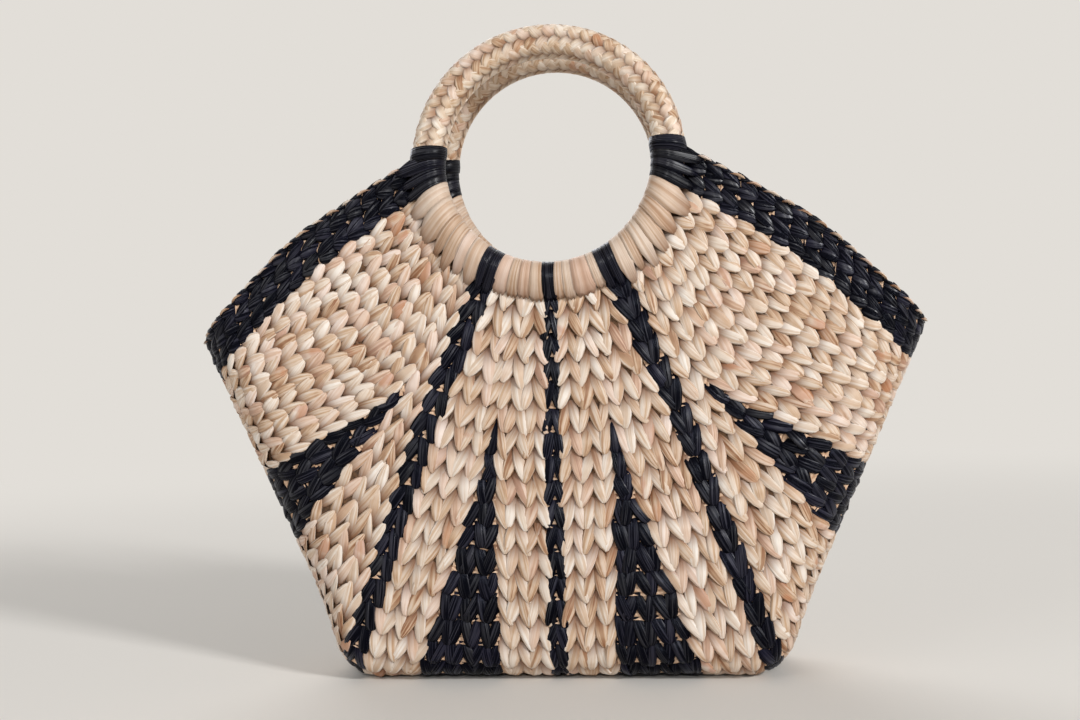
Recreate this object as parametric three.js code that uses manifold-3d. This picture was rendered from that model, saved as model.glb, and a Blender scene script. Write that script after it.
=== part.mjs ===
// Water hyacinth tote bag with two ring handles.
// From each ring hangs a fan of twined stakes. The front and back fans meet under the base and
// round the sides, and the part of each fan above the side corners folds outwards to open the bag.
// Millimetres, +Z up, front towards -Y, origin at the middle of the base.
import * as THREE from 'three';
import { mergeVertices } from 'three/addons/utils/BufferGeometryUtils.js';
import Module from 'manifold-3d';

// Body, seen from the front
const CORNER_REACH = 201; // middle of the bag to the fold at a side corner
const CORNER_HEIGHT = 184; // floor to a side corner, where the front and back rims meet
const BASE_REACH = 119; // middle of the bag to where the side line and the base line cross
const BASE_CORNER_RADIUS = 28; // rounds the base line into the side line
const STAKE_BEND = 22; // length over which a stake changes direction

// Body, seen from the side
const BELLY_DEPTH = 80; // front to back, below the belly height
const BELLY_HEIGHT = 60; // above this the walls lean in
const BELLY_BLEND = 30; // half of the height over which they start to lean
const BASE_ROUND = 18; // outer radius from the base into a wall
const WALL = 6; // thickness of the twined wall
const FIT = 0.3; // gap between pieces that lie against each other

// Ring handles
const RING_RADIUS = 65.5; // ring centre to the middle of the cane
const RING_SPREAD = 43; // between the two ring planes, at the ring centres
const NECK = 17.5; // wall between the fold line and the underside of a ring
const CANE_RADIUS = 5.4; // bent cane inside each ring
const COLLAR = 3.6; // stakes looped over the cane, on the lower half of the ring
const PLAIT = 4.1; // plaited cover over the cane, on the upper half
const BINDING = 4.4; // rim stakes bound round the cane, at either end of the plait
const LOOP_BITE = 0.8; // a wall starts this deep in the loops over the cane

// Fold line of the flaps
const RIM_DIP = 4; // fold line above the lowest point of the rim
const INWARD_RELIEF = 3.5; // degrees of bevel under a flap, so that it can lean inwards

// Where the bundles leave the ring, in degrees round from straight down
const CENTRE_STRIPE_TURN = 2.8;
const BASE_WEDGE_TURN = 14;
const STRIPE_TURN = 24;
const STRIPE_END_TURN = 33;
const SIDE_WEDGE_TURN = 40;
const RIM_TURN = 76;
const RIM_END_TURN = 92;
const BINDING_END_TURN = 97;

// Width of each bundle along the fold between front and back, from the middle of the base
const CENTRE_STRIPE_FOOT = 9;
const MIDDLE_FOOT = 26.5;
const BASE_WEDGE_FOOT = 46;
const INNER_FOOT = 33;
const STRIPE_FOOT = 11;
const LOWER_FOOT = 71;
const SIDE_WEDGE_FOOT = 43;
const RIM_FOOT = 21;

// Points where the stakes bend, out from the ring centre and down from it
const CENTRE_STRIPE_BEND = { out: 4.2, down: 148 };
const BASE_WEDGE_TIP = { out: 32, down: 148 };
const STRIPE_BEND = { out: 64.6, down: 146.5 };
const STRIPE_END_BEND = { out: 75.4, down: 143.5 };
const SIDE_WEDGE_TIP = { out: 79, down: 123 };
const RIM_BEND = { out: 129, down: 55 };
const RIM_END_BEND = { out: 141, down: 37 };

// Facets
const RING_SIDES = 10;
const CANE_STEPS = 40;
const ARC_STEP = 9; // degrees of ring to a facet
const FOLD_DENSITY = 2.6; // rows round a fold, against rows on a flat wall
const WALL_ROWS = 9;
const LEAD_ROWS = 3; // rows of a wall above the tip of the wedge beside it
const LEAD_SHARE = 0.2; // share of a wall that those rows take where no wedge is beside it
const CORNER_ROWS = 6;
const FLAP_ROWS = 5;
const COLUMN_WIDTH = 23; // greatest width of a facet
const HALVINGS = 40; // steps of a search along a stake
const FOLD_PASSES = 8; // steps to settle the radius of a fold
const MERGE = 1e-4; // corners closer than this are one corner

const FOLD_HEIGHT = CORNER_HEIGHT + RIM_DIP;
const RING_HEIGHT = FOLD_HEIGHT + NECK + RING_RADIUS + CANE_RADIUS + COLLAR;
const STAKE_START = RING_RADIUS + CANE_RADIUS + COLLAR - LOOP_BITE;
const RING_HALF_DEPTH = (RING_SPREAD + WALL) / 2;
const LEAN = (BELLY_DEPTH / 2 - RING_HALF_DEPTH) / (RING_HEIGHT - BELLY_HEIGHT);

const wasm = await Module();
wasm.setup();

// Half of the base and one side, seen from the front, from the middle of the base to the corner
function makeOutline() {
  const side = new THREE.Vector2(CORNER_REACH - BASE_REACH, CORNER_HEIGHT);
  const turn = side.angle();
  const trim = BASE_CORNER_RADIUS * Math.tan(turn / 2);
  const straight = BASE_REACH - trim;
  const down = -Math.PI / 2;
  const outline = new THREE.Path();
  outline.moveTo(0, 0);
  outline.lineTo(straight, 0);
  outline.absarc(straight, BASE_CORNER_RADIUS, BASE_CORNER_RADIUS, down, down + turn);
  outline.lineTo(CORNER_REACH, CORNER_HEIGHT);
  return { outline, straight, length: outline.getLength(), round: BASE_CORNER_RADIUS * turn };
}

const OUTLINE = makeOutline();
const SIDE_BLEND = 2; // the fold grows to a full half round over this many base corners

function outlinePoint(foot) {
  const point = OUTLINE.outline.getPoint(Math.min(1, Math.abs(foot) / OUTLINE.length));
  return point.setX(Math.sign(foot) * point.x);
}

function ringPoint(turn, radius) {
  const angle = THREE.MathUtils.degToRad(turn);
  return new THREE.Vector2(radius * Math.sin(angle), RING_HEIGHT - radius * Math.cos(angle));
}

// Outer half depth of the bag at a height: upright below the belly, then leaning in up to the rings
function halfDepth(height) {
  const above = height - (BELLY_HEIGHT - BELLY_BLEND);
  if (above <= 0) return BELLY_DEPTH / 2;
  if (above < 2 * BELLY_BLEND) return BELLY_DEPTH / 2 - (LEAN * above * above) / (4 * BELLY_BLEND);
  return BELLY_DEPTH / 2 - LEAN * (height - BELLY_HEIGHT);
}

// One line that stakes follow from the ring, down the wall and round the fold to the seam
class Stake {
  constructor(turn, bend, foot, forks = false) {
    Object.assign(this, { turn, bend, foot, forks });
    const start = ringPoint(turn, STAKE_START);
    const end = outlinePoint(foot);
    const before = start.clone().sub(bend);
    const after = end.clone().sub(bend);
    before.setLength(Math.min(STAKE_BEND, before.length() / 2)).add(bend);
    after.setLength(Math.min(STAKE_BEND, after.length() / 2)).add(bend);
    this.path = new THREE.CurvePath();
    this.path.add(new THREE.LineCurve(start, before));
    this.path.add(new THREE.QuadraticBezierCurve(before, bend, after));
    this.path.add(new THREE.LineCurve(after, end));
    const lengths = this.path.getCurveLengths();
    this.seen = lengths[2];
    this.bendMiddle = (lengths[0] + lengths[1]) / 2;
    const sideShare = THREE.MathUtils.smoothstep(
      Math.abs(foot),
      OUTLINE.straight,
      OUTLINE.straight + SIDE_BLEND * OUTLINE.round,
    );
    this.round = BASE_ROUND;
    for (let pass = 0; pass < FOLD_PASSES; pass++) {
      this.depth = halfDepth(this.seenFrom(this.seen - this.round).y);
      this.round = Math.min(this.depth, THREE.MathUtils.lerp(BASE_ROUND, this.depth, sideShare));
    }
    this.face = this.seen - this.round;
    this.turned = this.face + (this.round * Math.PI) / 2;
    this.length = this.turned + Math.max(0, this.depth - this.round);
  }

  seenFrom(distance) {
    return this.path.getPoint(THREE.MathUtils.clamp(distance / this.seen, 0, 1));
  }

  // Point at a distance from the ring and an inset from the outer surface, on the face's side
  point(distance, inset, side, seam) {
    let seen = distance;
    let out = 0;
    if (distance < this.face) {
      out = halfDepth(this.seenFrom(distance).y) - inset;
    } else {
      const angle = Math.min(distance - this.face, this.turned - this.face) / this.round;
      const radius = this.round - inset;
      seen = this.face + radius * Math.sin(angle);
      const flat = Math.max(0, this.depth - this.round);
      const past = Math.max(0, distance - this.turned);
      out = flat - past + radius * Math.cos(angle);
      out = seam + out * (1 - seam / this.depth);
    }
    const flatPoint = this.seenFrom(seen);
    return new THREE.Vector3(flatPoint.x, side * out, flatPoint.y);
  }

  // Distance at which the stake goes below a plane, given as height over the plane
  crossing(heightOver, inset, side) {
    let low = 0;
    let high = this.length;
    for (let pass = 0; pass < HALVINGS; pass++) {
      const middle = (low + high) / 2;
      if (heightOver(this.point(middle, inset, side, 0)) > 0) low = middle;
      else high = middle;
    }
    return low;
  }

  // Distances from a start to an end, closer together round the fold
  rows(from, to, count) {
    const spread = (distance) =>
      Math.min(distance, this.face) +
      FOLD_DENSITY * THREE.MathUtils.clamp(distance - this.face, 0, this.turned - this.face) +
      Math.max(0, distance - this.turned);
    const rows = [from];
    for (let row = 1; row < count; row++) {
      const wanted = THREE.MathUtils.lerp(spread(from), spread(to), row / count);
      let low = from;
      let high = to;
      for (let pass = 0; pass < HALVINGS; pass++) {
        const middle = (low + high) / 2;
        if (spread(middle) < wanted) low = middle;
        else high = middle;
      }
      rows.push(low);
    }
    return [...rows, to];
  }
}

function bendPoint({ out, down }) {
  return new THREE.Vector2(out, RING_HEIGHT - down);
}

// Lines between neighbouring bundles, from the middle of the bag to the right-hand rim
function makeEdges() {
  const feet = [CENTRE_STRIPE_FOOT / 2, MIDDLE_FOOT, BASE_WEDGE_FOOT, INNER_FOOT, STRIPE_FOOT, LOWER_FOOT];
  feet.push(SIDE_WEDGE_FOOT);
  const ends = feet.map((_, index) => feet.slice(0, index + 1).reduce((sum, width) => sum + width));
  return {
    centre: new Stake(CENTRE_STRIPE_TURN, bendPoint(CENTRE_STRIPE_BEND), ends[0]),
    baseWedge: new Stake(BASE_WEDGE_TURN, bendPoint(BASE_WEDGE_TIP), ends[1], true),
    baseWedgeEnd: new Stake(BASE_WEDGE_TURN, bendPoint(BASE_WEDGE_TIP), ends[2], true),
    stripe: new Stake(STRIPE_TURN, bendPoint(STRIPE_BEND), ends[3]),
    stripeEnd: new Stake(STRIPE_END_TURN, bendPoint(STRIPE_END_BEND), ends[4]),
    sideWedge: new Stake(SIDE_WEDGE_TURN, bendPoint(SIDE_WEDGE_TIP), ends[5], true),
    sideWedgeEnd: new Stake(SIDE_WEDGE_TURN, bendPoint(SIDE_WEDGE_TIP), ends[6], true),
    rim: new Stake(RIM_TURN, bendPoint(RIM_BEND), OUTLINE.length - RIM_FOOT),
    rimEnd: new Stake(RIM_END_TURN, bendPoint(RIM_END_BEND), OUTLINE.length),
  };
}

function mirrored(stake) {
  return new Stake(-stake.turn, new THREE.Vector2(-stake.bend.x, stake.bend.y), -stake.foot, stake.forks);
}

// Stakes spread evenly from one edge of a bundle to the other
function spreadStakes(first, last) {
  const width = Math.abs(last.foot - first.foot);
  const columns = Math.max(1, Math.ceil(width / COLUMN_WIDTH));
  return Array.from({ length: columns + 1 }, (_, column) => {
    const share = column / columns;
    const bend = first.bend.clone().lerp(last.bend, share);
    const turn = THREE.MathUtils.lerp(first.turn, last.turn, share);
    return new Stake(turn, bend, THREE.MathUtils.lerp(first.foot, last.foot, share));
  });
}

// Draws the first and last point of each row in, to leave a gap to the next bundle
function drawIn(row) {
  const last = row.length - 1;
  const pull = (point, towards) => {
    const step = towards.clone().sub(point);
    return point.clone().add(step.setLength(FIT / 2));
  };
  return row.map((point, index) => {
    if (index === 0) return pull(point, row[1]);
    return index === last ? pull(point, row[last - 1]) : point;
  });
}

// Closed slab between an outer and an inner grid of points
function slab(outer, inner, side) {
  const rows = outer.length;
  const columns = outer[0].length;
  const positions = [];
  for (const point of [...outer.flat(), ...inner.flat()]) positions.push(point.x, point.y, point.z);
  const at = (layer, row, column) => (layer * rows + row) * columns + column;
  const index = [];
  const quad = (a, b, c, d) => {
    if (side < 0) index.push(a, b, c, a, c, d);
    else index.push(a, c, b, a, d, c);
  };
  for (let row = 0; row < rows - 1; row++) {
    for (let column = 0; column < columns - 1; column++) {
      const corners = [[row, column], [row + 1, column], [row + 1, column + 1], [row, column + 1]];
      quad(...corners.map(([r, c]) => at(0, r, c)));
      quad(...corners.reverse().map(([r, c]) => at(1, r, c)));
    }
    const right = columns - 1;
    quad(at(0, row + 1, 0), at(0, row, 0), at(1, row, 0), at(1, row + 1, 0));
    quad(at(0, row, right), at(0, row + 1, right), at(1, row + 1, right), at(1, row, right));
  }
  for (let column = 0; column < columns - 1; column++) {
    const bottom = rows - 1;
    quad(at(0, 0, column), at(0, 0, column + 1), at(1, 0, column + 1), at(1, 0, column));
    const next = column + 1;
    quad(at(0, bottom, next), at(0, bottom, column), at(1, bottom, column), at(1, bottom, next));
  }
  const geometry = new THREE.BufferGeometry();
  geometry.setAttribute('position', new THREE.Float32BufferAttribute(positions, 3));
  geometry.setIndex(index);
  return geometry;
}

const overFold = (point) => point.z - FOLD_HEIGHT;

// Underside of a flap: level with the fold line at the outer surface, and rising inwards
function overFlapEdge(side) {
  const slope = Math.tan(THREE.MathUtils.degToRad(INWARD_RELIEF));
  return (point) => point.z - FOLD_HEIGHT - FIT - slope * (halfDepth(FOLD_HEIGHT) - side * point.y);
}

function gridOf(stakes, inset, side, seam, distances) {
  const columns = stakes.map((stake, column) => {
    const share = column / (stakes.length - 1);
    return distances(stake, inset, share).map((distance) => stake.point(distance, inset, side, seam));
  });
  return columns[0].map((_, row) => drawIn(columns.map((column) => column[row])));
}

// Wall of a bundle below the fold line, from there round to the seam in the middle of the fold
function wallGeometry(first, last, side) {
  const stakes = spreadStakes(first, last);
  const leadShare = (edge, inset) => {
    const top = edge.crossing(overFold, inset, side);
    return edge.forks ? (edge.bendMiddle - top) / (edge.length - top) : LEAD_SHARE;
  };
  const down = (stake, inset, share) => {
    const top = stake.crossing(overFold, inset, side);
    const lead = THREE.MathUtils.lerp(leadShare(first, inset), leadShare(last, inset), share);
    const tip = THREE.MathUtils.lerp(top, stake.length, lead);
    return [...stake.rows(top, tip, LEAD_ROWS), ...stake.rows(tip, stake.length, WALL_ROWS).slice(1)];
  };
  const grid = (inset) => gridOf(stakes, inset, side, FIT / 2, down);
  return slab(grid(0), grid(WALL), side);
}

// Wedge set in between two bundles, from where their stakes fork
function wedgeGeometry(first, last, side) {
  const stakes = spreadStakes(first, last);
  const down = (stake) => stake.rows(stake.bendMiddle, stake.length, WALL_ROWS);
  const grid = (inset) => gridOf(stakes, inset, side, FIT / 2, down);
  return slab(grid(0), grid(WALL), side);
}

// Rim at a side corner, in one piece from the front fold line round to the back one
function cornerGeometry(first, last) {
  const stakes = spreadStakes(first, last);
  const grid = (inset) => {
    const half = (side) => {
      const down = (stake) => stake.rows(stake.crossing(overFold, inset, side), stake.length, CORNER_ROWS);
      return gridOf(stakes, inset, side, 0, down);
    };
    const front = half(-1);
    return [...front, ...half(1).reverse().slice(1)];
  };
  return slab(grid(0), grid(WALL), -1);
}

// Part of the ring's circle, in the ring's own plane
class RingArc extends THREE.Curve {
  constructor(fromTurn, toTurn) {
    super();
    this.from = THREE.MathUtils.degToRad(fromTurn);
    this.to = THREE.MathUtils.degToRad(toTurn);
  }

  getPoint(share) {
    const angle = THREE.MathUtils.lerp(this.from, this.to, share);
    return new THREE.Vector3(RING_RADIUS * Math.sin(angle), 0, -RING_RADIUS * Math.cos(angle));
  }
}

// Hollow sleeve round the cane, from one turn of the ring to another
function sleeveGeometry(fromTurn, toTurn, thickness) {
  const ends = THREE.MathUtils.radToDeg(FIT / 2 / RING_RADIUS);
  const steps = Math.max(1, Math.ceil((toTurn - fromTurn) / ARC_STEP));
  const section = new THREE.Shape().absarc(0, 0, CANE_RADIUS + thickness, 0, 2 * Math.PI);
  const bore = (CANE_RADIUS + FIT) / Math.cos(Math.PI / RING_SIDES);
  section.holes.push(new THREE.Path().absarc(0, 0, bore, 0, 2 * Math.PI, true));
  return new THREE.ExtrudeGeometry(section, {
    steps,
    curveSegments: RING_SIDES / 2, // a full circle gets twice this many sides
    extrudePath: new RingArc(fromTurn + ends, toTurn - ends),
  });
}

// Place of a ring: leaning in with the wall that hangs from it
function ringMatrix(side) {
  const lean = new THREE.Matrix4().makeRotationX(side * Math.atan(LEAN));
  const place = new THREE.Matrix4().makeTranslation(0, (side * RING_SPREAD) / 2, RING_HEIGHT);
  return place.multiply(lean);
}

function toSolid(geometry) {
  const bare = geometry.clone();
  bare.deleteAttribute('normal');
  bare.deleteAttribute('uv');
  const merged = mergeVertices(bare, MERGE);
  return new wasm.Manifold(
    new wasm.Mesh({
      numProp: 3,
      vertProperties: new Float32Array(merged.attributes.position.array),
      triVerts: new Uint32Array(merged.index.array),
    }),
  );
}

function toGeometry(solid) {
  const { vertProperties, triVerts } = solid.getMesh();
  const geometry = new THREE.BufferGeometry();
  geometry.setAttribute('position', new THREE.Float32BufferAttribute(vertProperties, 3));
  geometry.setIndex(Array.from(triVerts));
  return geometry;
}

// Stakes of a flap: looped over the cane, then hanging as far as the fold line
function flapGeometry(first, last, collar, side) {
  const stakes = spreadStakes(first, last);
  const edge = overFlapEdge(side);
  const down = (stake, inset) => stake.rows(0, stake.crossing(edge, inset, side), FLAP_ROWS);
  const grid = (inset) => gridOf(stakes, inset, side, 0, down);
  const loop = sleeveGeometry(...collar).applyMatrix4(ringMatrix(side));
  return toGeometry(toSolid(slab(grid(0), grid(WALL), side)).add(toSolid(loop)));
}

const STRAW = { color: 0xcdae8c, roughness: 0.6, metalness: 0 };
const BLACK = { color: 0x1b1a24, roughness: 0.45, metalness: 0 };
const PLAITED = { color: 0xc9ad8d, roughness: 0.6, metalness: 0 };
const CANE = { color: 0xb08a5c, roughness: 0.7, metalness: 0 };

function piece(name, geometry, finish) {
  geometry.computeVertexNormals();
  const mesh = new THREE.Mesh(geometry, new THREE.MeshStandardMaterial(finish));
  mesh.name = name;
  return mesh;
}

// Cane ring and its plaited cover, in the ring's own plane
function makeRing(face, side) {
  const ring = new THREE.Group();
  ring.applyMatrix4(ringMatrix(side));
  const cane = new THREE.TorusGeometry(RING_RADIUS, CANE_RADIUS, RING_SIDES, CANE_STEPS);
  ring.add(piece(`${face}_cane_hoop`, cane.rotateX(Math.PI / 2), CANE));
  const plait = sleeveGeometry(BINDING_END_TURN, 360 - BINDING_END_TURN, PLAIT);
  ring.add(piece(`${face}_plaited_grip`, plait, PLAITED));
  return ring;
}

const EDGES = makeEdges();
const HANDS = { left: -1, right: 1 };

// Bundle between two edges, on the left or the right, with its first edge on the left
function bundle(hand, inner, outer) {
  return hand > 0 ? [inner, outer] : [mirrored(outer), mirrored(inner)];
}

function turns(hand, inner, outer, thickness) {
  return hand > 0 ? [inner, outer, thickness] : [-outer, -inner, thickness];
}

function makeFlap(face, side) {
  const flap = new THREE.Group();
  flap.add(makeRing(face, side));
  const centre = [mirrored(EDGES.centre), EDGES.centre];
  const centreTurns = [-CENTRE_STRIPE_TURN, CENTRE_STRIPE_TURN, COLLAR];
  flap.add(piece(`${face}_flap_centre_stripe`, flapGeometry(...centre, centreTurns, side), BLACK));
  for (const [word, hand] of Object.entries(HANDS)) {
    const add = (name, inner, outer, collar, finish) => {
      const geometry = flapGeometry(...bundle(hand, inner, outer), turns(hand, ...collar), side);
      flap.add(piece(`${face}_flap_${word}_${name}`, geometry, finish));
    };
    add('inner_stakes', EDGES.centre, EDGES.stripe, [CENTRE_STRIPE_TURN, STRIPE_TURN, COLLAR], STRAW);
    add('stripe', EDGES.stripe, EDGES.stripeEnd, [STRIPE_TURN, STRIPE_END_TURN, COLLAR], BLACK);
    add('outer_stakes', EDGES.stripeEnd, EDGES.rim, [STRIPE_END_TURN, RIM_TURN, COLLAR], STRAW);
    add('rim', EDGES.rim, EDGES.rimEnd, [RIM_TURN, BINDING_END_TURN, BINDING], BLACK);
  }
  return flap;
}

function makePouch() {
  const pouch = new THREE.Group();
  for (const [face, side] of [['front', -1], ['back', 1]]) {
    const centre = wallGeometry(mirrored(EDGES.centre), EDGES.centre, side);
    pouch.add(piece(`${face}_wall_centre_stripe`, centre, BLACK));
    for (const [word, hand] of Object.entries(HANDS)) {
      const add = (name, make, inner, outer, finish) => {
        pouch.add(piece(`${face}_wall_${word}_${name}`, make(...bundle(hand, inner, outer), side), finish));
      };
      add('middle_stakes', wallGeometry, EDGES.centre, EDGES.baseWedge, STRAW);
      add('base_wedge', wedgeGeometry, EDGES.baseWedge, EDGES.baseWedgeEnd, BLACK);
      add('inner_stakes', wallGeometry, EDGES.baseWedgeEnd, EDGES.stripe, STRAW);
      add('stripe', wallGeometry, EDGES.stripe, EDGES.stripeEnd, BLACK);
      add('lower_stakes', wallGeometry, EDGES.stripeEnd, EDGES.sideWedge, STRAW);
      add('side_wedge', wedgeGeometry, EDGES.sideWedge, EDGES.sideWedgeEnd, BLACK);
      add('upper_stakes', wallGeometry, EDGES.sideWedgeEnd, EDGES.rim, STRAW);
    }
  }
  for (const [word, hand] of Object.entries(HANDS)) {
    pouch.add(piece(`${word}_rim_corner`, cornerGeometry(...bundle(hand, EDGES.rim, EDGES.rimEnd)), BLACK));
  }
  return pouch;
}

const bag = new THREE.Group();
bag.name = 'water_hyacinth_tote_bag';
bag.add(makePouch(), makeFlap('front', -1), makeFlap('back', 1));

export default bag;
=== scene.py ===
import collections
import itertools
import math

import bmesh
import bpy
import numpy as np
from mathutils import Matrix, Vector


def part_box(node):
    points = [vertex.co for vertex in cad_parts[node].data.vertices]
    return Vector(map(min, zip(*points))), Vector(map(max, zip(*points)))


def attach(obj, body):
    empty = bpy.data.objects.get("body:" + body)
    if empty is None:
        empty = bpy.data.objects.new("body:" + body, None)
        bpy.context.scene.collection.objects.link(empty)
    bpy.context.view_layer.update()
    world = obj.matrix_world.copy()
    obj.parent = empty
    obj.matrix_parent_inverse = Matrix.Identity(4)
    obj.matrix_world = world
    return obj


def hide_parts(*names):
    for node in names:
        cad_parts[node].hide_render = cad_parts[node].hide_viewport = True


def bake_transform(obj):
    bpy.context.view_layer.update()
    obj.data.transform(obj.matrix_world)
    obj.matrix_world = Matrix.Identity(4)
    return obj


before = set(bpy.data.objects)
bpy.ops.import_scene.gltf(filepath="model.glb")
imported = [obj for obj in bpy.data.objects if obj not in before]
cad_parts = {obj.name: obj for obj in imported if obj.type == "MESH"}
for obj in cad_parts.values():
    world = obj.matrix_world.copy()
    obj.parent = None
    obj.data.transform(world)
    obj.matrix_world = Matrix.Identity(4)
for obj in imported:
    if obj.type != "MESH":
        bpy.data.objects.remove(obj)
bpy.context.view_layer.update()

# Shape of the bag, in metres, as in the CAD model
CORNER_REACH = 0.201
CORNER_HEIGHT = 0.184
BASE_REACH = 0.119
BASE_CORNER_RADIUS = 0.028
STAKE_BEND = 0.022
BELLY_DEPTH = 0.080
BELLY_HEIGHT = 0.060
BELLY_BLEND = 0.030
BASE_ROUND = 0.018
WALL = 0.006
FOLD_HEIGHT = 0.188
CANE_RADIUS = 0.0054
LOOPED_RADIUS = 0.0090
PLAITED_RADIUS = 0.0095
LOOP_BITE = 0.0008
RIM_FOOT = 0.021  # width of a rim along the fold between front and back

# Where the bundles leave the ring, in degrees from its bottom
CENTRE_TURN = 2.8
BASE_WEDGE_TURN = 14
STRIPE_TURN = 24
STRIPE_END_TURN = 33
SIDE_WEDGE_TURN = 40
RIM_TURN = 76
RIM_END_TURN = 92

# The rings, read from the frame
hoop_low, hoop_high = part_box("front_cane_hoop")
RING_RADIUS = hoop_high.x - CANE_RADIUS
RING_HEIGHT = (hoop_low.z + hoop_high.z) / 2
RING_OUT = -(hoop_low.y + hoop_high.y) / 2
STAKE_START = RING_RADIUS + LOOPED_RADIUS - LOOP_BITE
LEAN = (BELLY_DEPTH / 2 - RING_OUT - WALL / 2) / (RING_HEIGHT - BELLY_HEIGHT)

# The weave
STITCH_WIDTH = 0.0053  # from one stitch to the next in a row
STITCH_THICKNESS = 0.0018
STITCH_LEAN = math.radians(15.5)
STITCH_ROLL = 0.14
STITCH_FLATNESS = 0.8
STITCH_INSET = 0.0014
FIRST_ROWS = (-0.004, 0.002)  # from the ring, at its bottom and at its sides, where the loops reach lower
LOOP_GROWTH = (26, 42)  # degrees from the bottom of the ring
LAST_ROW_ROOM = 0.35  # of the row pitch
NARROWEST_PAIR = 0.0045
NARROWEST_STITCH = 0.0034
WEDGE_START = 0.0014
UNDERWEAVE_INSET = 0.0024
UNDERWEAVE_THICKNESS = 0.0012
WEFT_RADIUS = 0.0016
WEFT_INSET = 0.0031
WEFT_SPREAD = 0.0013
WEFT_STEP = 0.005

# How uneven the handwork is: spreads, and least and greatest shares
UNEVEN_LEAN = 0.07
UNEVEN_WIDTH = (0.88, 1.12)
UNEVEN_LENGTH = (0.92, 1.08)
UNEVEN_ROW = 0.0005
UNEVEN_SIZE = (0.85, 1.15)
UNEVEN_LOOPS = (0.6, 1.4)
UNEVEN_TAIL = 0.2
UNEVEN_SWELL = 0.01
UNEVEN_PLAIT_LEAN = 0.05
UNEVEN_SCALE = (0.95, 1.08)

# How finely the wall's surface is looked up
WALL_COLUMNS = 25
WALL_SHARES = np.linspace(0, 1, WALL_COLUMNS)
WALL_STEP = 0.0025
PAST_SEAM = 0.014
BEND_STEPS = 24
FOLD_PASSES = 8

SIDES = {"front": -1, "back": 1}
HANDS = {"left": -1, "right": 1}
FAN_SEEDS = {"front": 100, "back": 200}
RING_SEEDS = {"front": 11, "back": 12}


def smoothstep(value, low, high):
    share = np.clip((value - low) / (high - low), 0, 1)
    return share * share * (3 - 2 * share)


def lerp(first, last, share):
    return first + (last - first) * share


def unit(vectors):
    return vectors / np.linalg.norm(vectors, axis=-1)[..., None]


def lengths_along(points):
    """Lengths from the first of a line of points to each of them."""
    steps = np.linalg.norm(np.diff(points, axis=0), axis=1)
    return np.concatenate([[0], np.cumsum(steps)])


# The fold, seen from the front: a straight base, a rounded corner and an upright side
OUTLINE_TURN = math.atan2(CORNER_HEIGHT, CORNER_REACH - BASE_REACH)
OUTLINE_STRAIGHT = BASE_REACH - BASE_CORNER_RADIUS * math.tan(OUTLINE_TURN / 2)
OUTLINE_ROUND = BASE_CORNER_RADIUS * OUTLINE_TURN
OUTLINE_UPRIGHT = math.hypot(
    CORNER_REACH - (OUTLINE_STRAIGHT + BASE_CORNER_RADIUS * math.sin(OUTLINE_TURN)),
    CORNER_HEIGHT - BASE_CORNER_RADIUS * (1 - math.cos(OUTLINE_TURN)),
)
OUTLINE_LENGTH = OUTLINE_STRAIGHT + OUTLINE_ROUND + OUTLINE_UPRIGHT


def outline_point(foot):
    """Point of the fold, so far from the middle along the base and up the side."""
    length = abs(foot)
    angle = np.clip((length - OUTLINE_STRAIGHT) / BASE_CORNER_RADIUS, 0, OUTLINE_TURN)
    up_side = max(0, length - OUTLINE_STRAIGHT - OUTLINE_ROUND)
    out = min(length, OUTLINE_STRAIGHT) + BASE_CORNER_RADIUS * math.sin(angle)
    height = BASE_CORNER_RADIUS * (1 - math.cos(angle))
    out += up_side * math.cos(OUTLINE_TURN)
    height += up_side * math.sin(OUTLINE_TURN)
    return np.array([math.copysign(out, foot), height])


def ring_point(turn, radius):
    return np.array([radius * math.sin(turn), RING_HEIGHT - radius * math.cos(turn)])


def half_depth(height):
    above = height - (BELLY_HEIGHT - BELLY_BLEND)
    curving = BELLY_DEPTH / 2 - LEAN * above**2 / (4 * BELLY_BLEND)
    leaning = BELLY_DEPTH / 2 - LEAN * (height - BELLY_HEIGHT)
    upper = np.where(above < 2 * BELLY_BLEND, curving, leaning)
    return np.where(above <= 0, BELLY_DEPTH / 2, upper)


def depth_slope(height):
    above = height - (BELLY_HEIGHT - BELLY_BLEND)
    return -LEAN * np.clip(above / (2 * BELLY_BLEND), 0, 1)


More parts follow.
